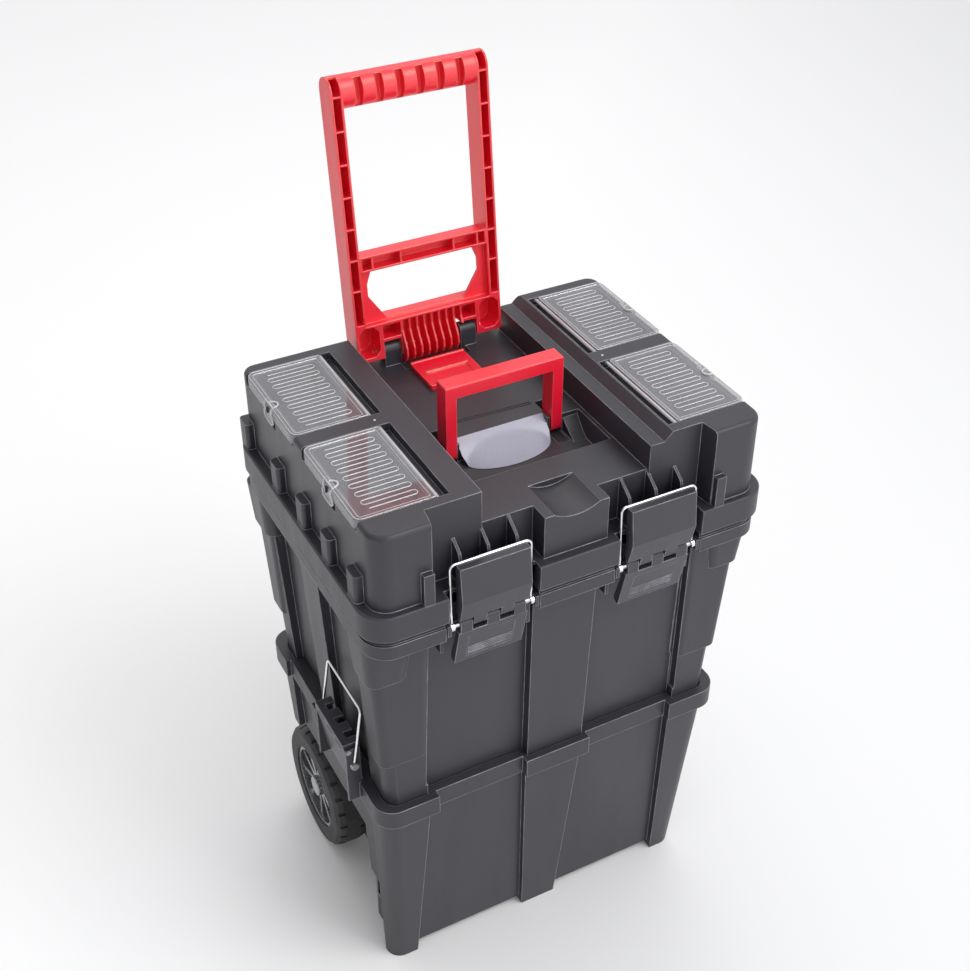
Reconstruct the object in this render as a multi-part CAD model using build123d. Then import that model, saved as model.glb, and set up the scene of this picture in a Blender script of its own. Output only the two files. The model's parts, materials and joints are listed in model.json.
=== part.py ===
"""Rolling tool box: wheeled lower bin, lift-off upper tub, hinged lid with four clear organiser
compartments, fold-down pull handle, folding carry handle, over-centre latches.

Millimetres. +X to the right seen from the front, +Y to the back, +Z up. The model is laid out from
the front edge of the lid skirt (Y = 0 there) and moved at the end so that the origin lies on the
floor, at the middle of the whole object's width and depth.
"""
from build123d import *
import os

# ---------------------------------------------------------------- overall size
BLOCK_TOP = 640.0          # top of the organiser blocks above the floor
SKIRT_HALF_W = 214.0       # lid skirt, half width
SKIRT_REAR = 332.0         # lid skirt, rear edge
SKIRT_TOP = 556.5
SKIRT_BOTTOM = 529.0
DEPTH_CENTRE = 181.4       # middle of the whole depth, measured from the skirt's front edge
WALL = 3.0
GAP = 0.8                  # clearance between the tub and the bin's collar
BEYOND_X = 260.0           # well outside the object, for cuts that run out of it
BEYOND_Y = 400.0

# ---------------------------------------------------------------- lower bin
BIN_RIM = 277.0
BIN_LEDGE = 262.0          # the tub stands on this ledge
COLLAR_BOTTOM = 254.0
COLLAR_HALF_W = 202.0
COLLAR_FRONT = 25.0
COLLAR_REAR = 332.0
COLLAR_SETBACK = 9.0       # the collar steps back in front of each panel
BIN_FLOOR = 8.0            # underside of the panels; feet and rib reach the floor
WELL_TOP = 166.0           # wheel well
WELL_FRONT = 118.0
WELL_HALF_W = 143.0        # inner wall of the wheel wells
WHEEL_R = 75.0
WHEEL_Y = 272.0
WHEEL_FACE = 188.0         # outer face of the tyre
TYRE_W = 40.0
RIM_R = 50.5
TREAD_BLOCKS = 24
SPOKES = 10
AXLE_R = 6.0

# ---------------------------------------------------------------- upper tub
TUB_TOP = 528.4
TUB_FLOOR = 266.0

# ---------------------------------------------------------------- lid
BLOCK_IN = 89.0            # inner wall of the organiser blocks
BLOCK_OUT = 203.0
BLOCK_FRONT = 7.4
BLOCK_REAR = 323.5
STEP_X = 144.3             # the block's front face steps back inside this line
STEP_Y = 28.3
LEDGE_X = 103.0            # right block only: a lower ledge runs along its inner edge
LEDGE_DROP = 9.0
DECK = 603.0               # floor of the central recess
DECK_REAR = 329.0
PIT = 583.0                # finger pit in front of the carry handle
PLATEAU_FRONT = 32.0
PIT_FRONT = 90.0
PIT_REAR = 160.0
CAVITY_LOW = 551.0         # roof of the skirt, where the hollows under the lid begin
GROOVE_R = 45.0            # shallow round groove on the notch block
GROOVE_HALF_W = 24.1
GROOVE_DROP = 7.0
GROOVE_REAR = 60.0
LID_HINGE_Y = 336.0
LID_HINGE_Z = 541.0
HINGE_R = 2.5

# organiser compartments, front and rear
LID_IN = 123.4             # hinge edge of the clear lids
CELLS = {"front": (39.8, 164.6), "rear": (184.0, 308.1)}
CLEAR_T = 2.6              # thickness of the clear lids
CLEAR_LIP = 11.0           # their outer edge turns down this far
CELL_DEPTH = 46.0

# ---------------------------------------------------------------- handles
PULL_AXIS_Y = 318.0
PULL_AXIS_Z = 620.0
PULL_HALF_W = 82.5
PULL_LENGTH = 284.5        # from the hinge line to the top of the grip
PULL_FRONT = 9.6           # hinge axis to the front plane of the frame
PULL_DEPTH = 28.0
PULL_LEAN = 6.5            # degrees, leaning back at rest
RAIL_W = 12.0
CARRY_AXIS_Y = 157.0
CARRY_AXIS_Z = 593.0
CARRY_HALF_W = 63.5
CARRY_TOP = 670.5
CARRY_DEPTH = 19.0
CARRY_LEG_W = 11.5
HOOKS = ((-52.0, -34.0), (35.0, 53.0))   # hinge hooks of the pull handle, along X
PIN_R = 2.5
RUN = 0.06                 # radial running clearance

# ---------------------------------------------------------------- latches
LATCH_X = 89.0             # middle of each front latch
LATCH_Y = 8.0              # common axis of plate, bail and lever
LATCH_Z = 516.0
PLATE_HALF_W = 35.5
PLATE_TOP = 585.0
LEVER_BOTTOM = 463.0
WIRE_R = 1.5
BAIL_HALF_W = 41.0         # middle of the wire
BAIL_LENGTH = 69.0
BAIL_LEAN = 1.66           # degrees, towards the lid
SIDE_LATCH_X = 211.0       # axis of the side latches' levers
SIDE_LATCH_Y = 119.0       # middle of the side latches
SIDE_LATCH_Z = 324.0
SIDE_PIN_HALF = 39.0       # half length of the lever pins, inside the bails
SIDE_BAIL_X = 207.0        # the side bails turn on studs below the lever's pin
SIDE_BAIL_Z = 307.0
SIDE_BAIL_LENGTH = 72.6
SIDE_BAIL_LEAN = 8.7


# ---------------------------------------------------------------- helpers
def block(x0, x1, y0, y1, z0, z1):
    """An upright box between two corners."""
    return Pos((x0 + x1) / 2, (y0 + y1) / 2, (z0 + z1) / 2) * Box(x1 - x0, y1 - y0, z1 - z0)


def outline(x0, x1, y0, y1, z, r=0.0):
    """A level rectangle, with rounded corners if r is given."""
    plane = Plane(origin=((x0 + x1) / 2, (y0 + y1) / 2, z))
    if r:
        return plane * RectangleRounded(x1 - x0, y1 - y0, r)
    return plane * Rectangle(x1 - x0, y1 - y0)


def drafted(z0, low, z1, high, r=0.0):
    """A tapered box between the rectangle `low` at z0 and `high` at z1."""
    return loft([outline(*low, z0, r), outline(*high, z1, r)], ruled=True)


def rounded(x0, x1, y0, y1, z0, z1, r):
    """An upright box with rounded vertical edges."""
    return extrude(outline(x0, x1, y0, y1, z0, r), z1 - z0)


def rod_x(x0, x1, y, z, r):
    """A round bar along X."""
    return Pos((x0 + x1) / 2, y, z) * Rot(0, 90, 0) * Cylinder(r, x1 - x0)


def rod_y(x, y0, y1, z, r):
    """A round bar along Y."""
    return Pos(x, (y0 + y1) / 2, z) * Rot(90, 0, 0) * Cylinder(r, y1 - y0)


def profile_y(points, y0, y1):
    """An (x, z) outline extruded along Y."""
    face = make_face(Polyline(*[(x, y0, z) for x, z in points], close=True))
    return extrude(face, amount=y1 - y0, dir=(0, 1, 0))


def mirrored(shape):
    """The same shape on the other side of the middle plane."""
    return mirror(shape, about=Plane.YZ)


def both(shape):
    """A shape and its mirror image as one."""
    return shape + mirrored(shape)


def profile_x(points, x0, x1):
    """A (y, z) outline extruded along X."""
    face = make_face(Polyline(*[(x0, y, z) for y, z in points], close=True))
    return extrude(face, amount=x1 - x0, dir=(1, 0, 0))


# ---------------------------------------------------------------- tub
def tub_form(grow=0.0, top=TUB_TOP):
    """Outside form of the tub: drafted panels, four corner posts and the centre ribs."""
    z0, z1 = BIN_LEDGE, TUB_TOP
    g = grow
    core = drafted(z0, (-181 - g, 181 + g, 45.6 - g, 309 + g), z1, (-191 - g, 191 + g, 34.5 - g, 318 + g))
    post_low = (147 - g, 189.2 + g, 35.5 - g, 78 + g)
    post_high = (141 - g, 203 + g, 25.0 - g, 68 + g)
    front_post = drafted(z0, post_low, z1, post_high)
    rear_low = (147 - g, 189.2 + g, 280 - g, 318 + g)
    rear_high = (141 - g, 203 + g, 284 - g, 327 + g)
    rear_post = drafted(z0, rear_low, z1, rear_high)
    rib = drafted(z0, (-32.5 - g, 32.5 + g, 34.3 - g, 60), z1, (-35.5 - g, 35.5 + g, 24.2 - g, 60))
    rear_rib = drafted(z0, (-32.5 - g, 32.5 + g, 290, 317 + g), z1, (-35.5 - g, 35.5 + g, 290, 326 + g))
    side_rib = drafted(z0, (170, 188.6 + g, 165 - g, 205 + g), z1, (175, 202 + g, 163 - g, 208 + g))
    form = core + both(front_post) + both(rear_post) + rib + rear_rib + both(side_rib)
    envelope = drafted(z0, (-189.2 - g, 189.2 + g, 34.3 - g, 318 + g),
                       z1, (-203 - g, 203 + g, 24.2 - g, 327 + g), 17)
    form = form & envelope
    if top < z1:
        form = form & block(-BEYOND_X, BEYOND_X, -50, BEYOND_Y, z0 - 1, top)
    return form


def upper_tub():
    body = tub_form()
    # stepped upper stretch of the corner posts, then the flared gusset under the rim
    for y0, y1 in ((26.5, 70.0), (282.0, 328.0)):
        low = (143.5, 196.5, y0 + 4.5, y1 - 1.0)
        high = (142.0, 206.0, y0 - 3.0, y1)
        step = drafted(338, low, TUB_TOP, high, 10)
        flare_low = (166.0, 207.0, y0 - 3.0, y1 + 0.5)
        flare = drafted(455, flare_low, 505, (160.0, 211.0, y0 - 7.5, y1 + 1.0), 12)
        body = body + both(step) + both(flare)
    rim = rounded(-211, 211, 3.2, 329.5, 505, TUB_TOP - 8, 26)
    upper_rim = rounded(-208.5, 208.5, 5.6, 327.0, 505, TUB_TOP, 24)
    body = body + rim + upper_rim
    # deep grooves beside the front posts, and the pockets in the rim behind the latches
    groove = drafted(290, (143.0, 148.5, 20, 44), 505, (137.5, 144.5, 10, 34))
    body = body - both(groove)
    for side in (-1, 1):
        x = side * LATCH_X
        body = body - block(x - 48.4, x + 48.4, -5, 24.0, 440, TUB_TOP + 5)
        for ear in (-1, 1):
            ex = x + ear * 45.4
            body = body + block(ex - 1.8, ex + 1.8, LATCH_Y - 5.0, 30.0, LATCH_Z - 7, LATCH_Z + 5)
            hook = block(ex - 1.8, ex + 1.8, 20.0, 40.0, LATCH_Z - 40, LATCH_Z - 6)
            body = body + hook
        body = body - rod_x(x - 60, x + 60, LATCH_Y, LATCH_Z, PIN_R)
    # inside
    cavity = drafted(TUB_FLOOR, (-176, 176, 50.5, 304), TUB_TOP + 2, (-187, 187, 39, 313.5), 14)
    post_hollows = tub_form(-WALL - 0.4) & block(-BEYOND_X, BEYOND_X, -50, BEYOND_Y, TUB_FLOOR + 4, 500)
    body = body - cavity - post_hollows
    # knuckles for the lid's hinge pins along the back
    for x0, x1 in ((-150, -125), (-95, -70), (70, 95), (125, 150)):
        lug = block(x0, x1, 320, LID_HINGE_Y, 506, 520)
        lug = lug + block(x0, x1, 333.2, LID_HINGE_Y + 5, 506, LID_HINGE_Z)
        lug = lug + rod_x(x0, x1, LID_HINGE_Y, LID_HINGE_Z, 5.0)
        lug = lug - block(x0 - 1, x1 + 1, 300, 332.8, 520.6, 560)
        body = body + lug
    body = body - rod_x(-160, 160, LID_HINGE_Y, LID_HINGE_Z, HINGE_R)
    return body


# ---------------------------------------------------------------- lower bin
def lower_bin():
    core = drafted(BIN_FLOOR, (-178, 178, 64, 296), COLLAR_BOTTOM + 6, (-188, 188, 42.5, 318))
    foot = drafted(0, (155.2, 186.5, 57.4, 76), COLLAR_BOTTOM + 6, (144, 195.5, 33.5, 68))
    rear = drafted(WELL_TOP, (146, 192.5, 288, 313), COLLAR_BOTTOM + 6, (146, 195.5, 286, 322))
    rib = drafted(0, (-21.2, 21.2, 58.4, 72), COLLAR_BOTTOM + 6, (-33.5, 33.5, 35.0, 60))
    rear_rib = drafted(BIN_FLOOR, (-21, 21, 280, 302), COLLAR_BOTTOM + 6, (-33, 33, 280, 324))
    body = core + both(foot) + both(rear) + rib + rear_rib
    envelope = drafted(0, (-186.5, 186.5, 57.4, 303), COLLAR_BOTTOM + 6, (-195.5, 195.5, 33.5, 325), 17)
    body = body & envelope
    # collar, stepping back in front of the panels
    collar = rounded(-COLLAR_HALF_W, COLLAR_HALF_W, COLLAR_FRONT, COLLAR_REAR, COLLAR_BOTTOM, BIN_RIM, 22)
    for x0, x1 in ((-138, -37.5), (37.5, 138)):
        collar = collar - block(x0, x1, 0, COLLAR_FRONT + COLLAR_SETBACK, 200, 300)
        collar = collar - block(x0, x1, COLLAR_REAR - COLLAR_SETBACK + 1, 400, 200, 300)
    for side in (-1, 1):
        collar = collar - block(*sorted((side * 196.5, side * BEYOND_X)), 84.5, 153.5, 200, 300)
        collar = collar - block(*sorted((side * 196.5, side * BEYOND_X)), 208, 282, 200, 300)
    body = body + collar
    body = body - tub_form(GAP, TUB_TOP) - block(-172, 172, 56, 300, BIN_LEDGE - 6, 300)
    # cavity, stepping in over the wheel wells
    cavity = drafted(BIN_FLOOR + WALL, (-174.5, 174.5, 67.5, 292.5),
                     BIN_LEDGE - 4, (-184, 184, 46.5, 313), 10)
    for side in (-1, 1):
        across = sorted((side * (WELL_HALF_W - WALL), side * BEYOND_X))
        hump = block(*across, WELL_FRONT - WALL, BEYOND_Y, -5, WELL_TOP + WALL)
        cavity = cavity - hump
    cavity = cavity - block(-BEYOND_X, BEYOND_X, 230, BEYOND_Y, -5, 95.0)
    body = body - cavity
    for side in (-1, 1):
        outward = sorted((side * WELL_HALF_W, side * BEYOND_X))
        body = body - block(*outward, WELL_FRONT, BEYOND_Y, -5, WELL_TOP)
        # the side panel's lower edge is raised between the front foot and the well
        body = body - block(*sorted((side * 176, side * BEYOND_X)), 76.5, WELL_FRONT + 1, -5, 90)
    # axle tunnel under the raised rear floor
    body = body - block(-BEYOND_X, BEYOND_X, 233, BEYOND_Y, -5, WHEEL_R - 14)
    body = body - rod_x(-BEYOND_X, BEYOND_X, WHEEL_Y, WHEEL_R, AXLE_R)
    # bracket plates that carry the side latches
    for side in (-1, 1):
        for ear in (-1, 1):
            ey = SIDE_LATCH_Y + ear * 37.6
            across = sorted((side * 199.0, side * (SIDE_LATCH_X + 3.6)))
            arm = block(*across, ey - 1.3, ey + 1.3, 256, SIDE_LATCH_Z + 3.6)
            foot = block(*sorted((side * 198.0, side * 207.0)), ey - 1.3, ey + 1.3, 256, BIN_RIM)
            body = body + arm + foot
        y0, y1 = SIDE_LATCH_Y - 60, SIDE_LATCH_Y + 60
        body = body - rod_y(side * SIDE_LATCH_X, y0, y1, SIDE_LATCH_Z, PIN_R)
        body = body - rod_y(side * SIDE_BAIL_X, y0, y1, SIDE_BAIL_Z, PIN_R)
    return body


# ---------------------------------------------------------------- lid
def organiser_block():
    """The raised block on the right of the lid, before its compartments are cut."""
    points = [(BLOCK_IN - 1, STEP_Y), (STEP_X, STEP_Y), (STEP_X + 3, BLOCK_FRONT), (BLOCK_OUT, BLOCK_FRONT),
              (BLOCK_OUT, BLOCK_REAR), (BLOCK_IN - 1, BLOCK_REAR)]
    face = make_face(Polyline(*[(x, y, SKIRT_TOP - 2) for x, y in points], close=True))
    solid = extrude(face, BLOCK_TOP - SKIRT_TOP + 2)
    uprights = solid.edges().filter_by(Axis.Z)
    front_corner = [e for e in uprights if e.center().X > 200 and e.center().Y < 20]
    solid = fillet(front_corner, 19)
    uprights = solid.edges().filter_by(Axis.Z)
    rear_corner = [e for e in uprights if e.center().X > 200 and e.center().Y > 300]
    solid = fillet(rear_corner, 13)
    shoulder = [e for e in solid.edges() if e.center().Z > BLOCK_TOP - 0.1 and
                (e.center().X > 190 or e.center().Y < 16)]
    return fillet(shoulder, 5)


def clear_lid_form(y0, y1, gap=0.0):
    """One clear lid over the right block: a plate with a turned-down outer edge."""
    front, rear = y0 + 0.4 - gap, y1 - 0.4 + gap
    plate = block(LID_IN + 2.0 - gap, BLOCK_OUT, front, rear, BLOCK_TOP - CLEAR_T - gap, BLOCK_TOP)
    lip = block(BLOCK_OUT - CLEAR_T - gap, BLOCK_OUT, front, rear, BLOCK_TOP - CLEAR_LIP - gap, BLOCK_TOP)
    return plate + lip


def compartments(shape):
    """Cut the seats, cells, hinge slots and hinge holes of the right block's two compartments."""
    for y0, y1 in CELLS.values():
        shape = shape - clear_lid_form(y0, y1, 0.4)
        # free face for the snap tongue
        mid = (y0 + y1) / 2
        catch = block(BLOCK_OUT - 4.6, BLOCK_OUT + 5, mid - 15, mid + 15, BLOCK_TOP - 22, BLOCK_TOP + 1)
        shape = shape - catch
        cell = rounded(LID_IN + 8, BLOCK_OUT - 8, y0 + 4, y1 - 4, BLOCK_TOP - CELL_DEPTH, BLOCK_TOP + 1, 6)
        shape = shape - cell
        slot = block(LID_IN - 9.4, LID_IN + 4.6, y0, y1, BLOCK_TOP - 9, BLOCK_TOP + 1)
        shape = shape - slot
        shape = shape - rod_y(LID_IN + 1.0, y0 - 3.6, y1 + 3.6, BLOCK_TOP - 3.2, 2.2 + RUN)
    return shape


def lid_shell():
    skirt = rounded(-SKIRT_HALF_W, SKIRT_HALF_W, 0, SKIRT_REAR, SKIRT_BOTTOM, SKIRT_TOP, 28)
    top_edge = skirt.edges().filter_by(Axis.Z, reverse=True).group_by(Axis.Z)[-1]
    skirt = fillet(top_edge, 2)
    right = organiser_block()
    deck = block(-BLOCK_IN, BLOCK_IN, PLATEAU_FRONT, DECK_REAR, SKIRT_TOP - 2, DECK)
    notch_block = block(-34, 34, 10.3, PLATEAU_FRONT + 2, SKIRT_TOP - 2, DECK)
    shell = skirt + both(right) + deck + notch_block
    # small pilasters along the blocks' outer walls and one on each front column
    for y in (42, 101, 161, 225, 309):
        pilaster = rounded(BLOCK_OUT - 6, BLOCK_OUT + 8.5, y - 10, y + 10, SKIRT_TOP - 1, 586, 4)
        shell = shell + both(pilaster)
    shell = shell + both(block(148.5, 159.0, 1.0, BLOCK_FRONT + 6, SKIRT_TOP - 1, 590))
    # fins that the latch wires press against
    for x in (59.5, 88.5, 117.0):
        fin = profile_x([(12.4, SKIRT_TOP - 1), (12.4, 579), (15.5, 590), (34, 603), (34, SKIRT_TOP - 1)],
                        x - 1.5, x + 1.5)
        shell = shell + both(fin)
    # inside of the shell
    shell = shell - rounded(-204, 204, 11.5, 320, SKIRT_BOTTOM - 2, 552, 18)
    below_cells = BLOCK_TOP - CELL_DEPTH - WALL
    shell = shell - both(rounded(BLOCK_IN + WALL, BLOCK_OUT - WALL, 36, 320, CAVITY_LOW, below_cells, 10))
    column = [(150.5, 12), (186, 12), (BLOCK_OUT - 3.6, 26), (BLOCK_OUT - 3.6, 37), (150.5, 37)]
    face = make_face(Polyline(*[(x, y, CAVITY_LOW) for x, y in column], close=True))
    shell = shell - both(extrude(face, BLOCK_TOP - 4 - CAVITY_LOW))
    across = (-BLOCK_IN + WALL, BLOCK_IN - WALL)
    plateau = block(*across, PLATEAU_FRONT + WALL, PIT_FRONT - 4, CAVITY_LOW, DECK - WALL)
    groove_half = GROOVE_HALF_W + WALL
    groove_floor = block(-groove_half, groove_half, 0, GROOVE_REAR + WALL, DECK - GROOVE_DROP - WALL, DECK)
    shell = shell - (plateau - groove_floor)
    shell = shell - block(*across, PLATEAU_FRONT + WALL, 184, CAVITY_LOW, PIT - 5)
    shell = shell - block(*across, 184, DECK_REAR - WALL, CAVITY_LOW, DECK - 7)
    # latch bays through the skirt
    for side in (-1, 1):
        x = side * LATCH_X
        shell = shell - block(x - 46.4, x + 46.4, -5, 12.0, SKIRT_BOTTOM - 5, SKIRT_TOP + 0.01)
    # organiser compartments
    shell = compartments(shell)
    shell = mirrored(compartments(mirrored(shell)))
    # the right block's lower inner ledge
    ledge = profile_y([(BLOCK_IN - 2, BLOCK_TOP + 1), (LEDGE_X + LEDGE_DROP, BLOCK_TOP + 1),
                       (LEDGE_X + LEDGE_DROP, BLOCK_TOP), (LEDGE_X, BLOCK_TOP - LEDGE_DROP),
                       (BLOCK_IN - 2, BLOCK_TOP - LEDGE_DROP)], STEP_Y - 5, BLOCK_REAR + 5)
    shell = shell - ledge
    # finger pit with its curved scoop and the slots for the handle's legs
    pit = drafted(PIT, (-80, 80, PIT_FRONT + 4, 150), DECK + 1, (-84, 84, PIT_FRONT, 150))
    scoop = profile_x([(149, DECK + 1), (PIT_REAR, DECK + 1), (PIT_REAR, DECK), (150, 596), (136, PIT),
                       (120, PIT), (120, DECK + 1)], -48.4, 48.4)
    shell = shell - pit - scoop
    mound = [(150.2, DECK), (150.2, PIT - 1), (126, PIT - 1), (126, PIT), (136, 588), (150.2, 598)]
    for side in (-1, 1):
        shell = shell + profile_x(mound, *sorted((side * 66, side * 84)))
        inner, outer = CARRY_HALF_W - CARRY_LEG_W - 0.8, CARRY_HALF_W + 0.8
        shell = shell - block(*sorted((side * inner, side * outer)), 131, 181, PIT - 1.5, DECK + 1)
    shell = shell - rod_x(-70, -44, CARRY_AXIS_Y, CARRY_AXIS_Z, PIN_R)
    shell = shell - rod_x(44, 70, CARRY_AXIS_Y, CARRY_AXIS_Z, PIN_R)
    # half-round groove on the notch block, with a curved front
    groove = rod_y(0, 0, GROOVE_REAR, DECK + GROOVE_R - GROOVE_DROP, GROOVE_R)
    opening = block(-GROOVE_HALF_W, GROOVE_HALF_W, 0, GROOVE_REAR, DECK - GROOVE_DROP - 1, DECK + 1)
    shell = shell - (groove & opening)
    # relief under the pull handle's cams, slot for the lock slider
    shell = shell - block(-35, 40, 297, 400, DECK - 4, DECK + 1)
    shell = shell - block(-6.4, 6.4, 248, 290, DECK - 12, DECK + 1)
    # hook hinges of the pull handle
    for x0, x1 in HOOKS:
        stem = block(x0, x1, PULL_AXIS_Y - 8, PULL_AXIS_Y + 8, DECK - 5, PULL_AXIS_Z)
        shell = shell + stem + rod_x(x0, x1, PULL_AXIS_Y, PULL_AXIS_Z, 8)
        shell = shell - rod_x(x0 - 1, x1 + 1, PULL_AXIS_Y, PULL_AXIS_Z, PIN_R)
    # hinge arms at the back
    for x0, x1 in ((-124.4, -95.6), (95.6, 124.4)):
        arm = block(x0, x1, SKIRT_REAR - 3, LID_HINGE_Y + 3, LID_HINGE_Z, SKIRT_TOP - 2)
        shell = shell + arm + rod_x(x0, x1, LID_HINGE_Y, LID_HINGE_Z, 5)
        shell = shell - rod_x(x0 - 1, x1 + 1, LID_HINGE_Y, LID_HINGE_Z, HINGE_R + RUN)
    for x0, x1 in ((-150.6, -124.4), (-95.6, -69.4), (69.4, 95.6), (124.4, 150.6)):
        shell = shell - rod_x(x0, x1, LID_HINGE_Y, LID_HINGE_Z, 5.6)
    return shell


def clear_lid(y0, y1):
    """A clear compartment lid with its hinge rod, raised ribs and snap tongue (right-hand side)."""
    lid = clear_lid_form(y0, y1)
    along = lid.edges().filter_by(Axis.Y)
    corner = [e for e in along if e.center().X > BLOCK_OUT - 0.1 and e.center().Z > BLOCK_TOP - 0.1]
    lid = fillet(corner, 2.2)
    mid = (y0 + y1) / 2
    lid = lid + rod_y(LID_IN + 1.0, y0 - 3.2, y1 + 3.2, BLOCK_TOP - 3.2, 2.2)
    lid = lid + block(LID_IN + 1.0, LID_IN + 4.0, y0 + 0.4, y1 - 0.4, BLOCK_TOP - 4.4, BLOCK_TOP - 1)
    across = (BLOCK_OUT - CLEAR_T, BLOCK_OUT + 1.4)
    tongue = rounded(*across, mid - 13, mid + 13, BLOCK_TOP - 20, BLOCK_TOP - 2, 1.2)
    notch = block(BLOCK_OUT - 10, BLOCK_OUT + 5, mid - 3, mid + 3, BLOCK_TOP - 30, BLOCK_TOP - 8)
    lid = lid + tongue - notch
    pitch = 10.4
    for i in range(9):
        y = mid + (i - 4) * pitch
        lid = lid + block(LID_IN + 18, BLOCK_OUT - 14, y - 1.0, y + 1.0, BLOCK_TOP - 0.2, BLOCK_TOP + 0.6)
    return lid


# ---------------------------------------------------------------- pull handle
def pull_place(shape):
    """From the handle's own upright frame, hinge line at the origin, to its leaning place."""
    return Pos(0, PULL_AXIS_Y, PULL_AXIS_Z) * Rot(-PULL_LEAN, 0, 0) * shape


def pull_handle():
    front, back = -PULL_FRONT, PULL_DEPTH - PULL_FRONT
    middle = (front + back) / 2
    inner = PULL_HALF_W - RAIL_W
    round_r = PULL_DEPTH / 2 - 0.1
    grip_half, bar_high, bar_low, base_top = 16.0, 107.0, 91.0, 33.0
    bar_back = front + 18
    grip_mid = PULL_LENGTH - grip_half
    # two rails with round tops, each a channel open to the front and crossed by ribs
    frame = block(-PULL_HALF_W, PULL_HALF_W, front, back, -6, PULL_LENGTH)
    top = [e for e in frame.edges().filter_by(Axis.X) if e.center().Z > PULL_LENGTH - 0.1]
    frame = fillet(top, round_r)
    channel = block(inner + 2, PULL_HALF_W - 2, front - 1, back - 2.4, base_top + 3, PULL_LENGTH - round_r)
    head = rod_x(inner + 2, PULL_HALF_W - 2, middle, PULL_LENGTH - round_r, round_r - 2.3)
    mouth = block(inner + 2, PULL_HALF_W - 2, front - 1, middle - 3, PULL_LENGTH - round_r - 1, PULL_LENGTH)
    frame = frame - both(channel) - both(head) - both(mouth)
    frame = frame - block(-inner, inner, front - 1, back + 1, bar_high, PULL_LENGTH + 1)
    frame = frame - block(-inner, inner, front - 1, back + 1, base_top, bar_low)
    frame = frame - block(-inner, inner, bar_back, back + 1, bar_low - 1, bar_high + 1)
    for i in range(7):
        z = 267.0 - 32.4 * i
        frame = frame + both(block(inner + 1, PULL_HALF_W - 1, front + 0.3, back - 2, z - 0.9, z + 0.9))
    # middle bar: a shallow channel with ribs
    frame = frame - block(-inner + 2, inner - 2, front - 1, bar_back - 2.4, bar_low + 2, bar_high - 2)
    for x in (-57, -26, 33, 60):
        frame = frame + block(x - 0.9, x + 0.9, front + 0.3, bar_back - 1, bar_low, bar_high)
    # oval grip with slots across its front
    section = Plane(origin=(-inner - 1, middle, grip_mid), x_dir=(0, 1, 0), z_dir=(1, 0, 0))
    frame = frame + extrude(section * Ellipse(round_r, grip_half), 2 * inner + 2)
    for i in range(6):
        x = (i - 2.5) * 21.25
        slot = block(x - 4, x + 4, front - 2, middle - 3, grip_mid - grip_half + 2, PULL_LENGTH - 3)
        frame = frame - slot
    # web with a window below the middle bar
    web = block(-inner - 1, inner + 1, front + 8, front + 10.6, base_top - 1, bar_low + 1)
    high = bar_low - 0.5
    window = [(-56, high), (-62, 75), (-62, 62), (-44, 35), (44, 35), (62, 62), (62, 75), (56, high)]
    hole = make_face(Polyline(*[(x, front, z) for x, z in window], close=True))
    frame = frame + (web - extrude(hole, amount=20, dir=(0, 1, 0)))
    # pockets of the base
    corner = profile_z_octagon(68.5, 11.5, front - 1, back - 3, 14.5, 16.5)
    frame = frame - both(corner)
    for x0, x1 in ((-53, -33), (37, 53)):
        frame = frame - block(x0, x1, front - 1, back - 4, 15.5, 30)
    # cam ribs that lean forward over the lock slider
    frame = frame - block(-32, 37, front - 1, front + 12, -7, 31)
    for i in range(9):
        x = -31.2 + 8.4 * i
        rib = profile_x([(front, 32), (front, 20), (-13.5, 11), (-18.2, 2), (-18.2, -6), (-14, -13),
                         (-6, -18.5), (6, -18.5), (6, 32)], x - 0.9, x + 0.9)
        frame = frame + rib
    frame = frame + block(-32, 37, front + 11, back, -9, 31) + block(-32, 37, front + 11, 6, -18.5, -8)
    # hinge notches and bores
    for x0, x1 in HOOKS:
        frame = frame - block(x0 - 0.7, x1 + 0.7, front - 12, back + 3, -20, 12.2)
    frame = frame - rod_x(-64, 65, 0, 0, PIN_R + RUN)
    return pull_place(frame)


def profile_z_octagon(x, half_w, y0, y1, z, half_h):
    """An eight-sided pocket seen from the front, cut along Y."""
    c = 6.0
    points = [(x - half_w + c, z - half_h), (x + half_w - c, z - half_h), (x + half_w, z - half_h + c),
              (x + half_w, z + half_h - c), (x + half_w - c, z + half_h), (x - half_w + c, z + half_h),
              (x - half_w, z + half_h - c), (x - half_w, z - half_h + c)]
    return profile_y(points, y0, y1)


def pull_handle_pins():
    pins = [rod_x(x0 - 8, x1 + 8, PULL_AXIS_Y, PULL_AXIS_Z, PIN_R) for x0, x1 in HOOKS]
    return Compound(children=pins)


def handle_lock_slider():
    plate = rounded(-30.5, 30.5, 247, 297, DECK + 0.3, DECK + 5.6, 2)
    plate = plate - rounded(-22, 22, 252, 272, DECK + 4.2, DECK + 7, 2)
    plate = plate + block(-24, 24, 272.6, 275.2, DECK + 5, DECK + 6.6)
    plate = plate + block(-30.5, 30.5, 294.4, 297, DECK + 2, DECK + 6.6)
    stem = block(-6, 6, 266, 276, DECK - 7.6, DECK + 1) + block(-9, 9, 264, 278, DECK - 10.4, DECK - 7.6)
    return plate + stem


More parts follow.
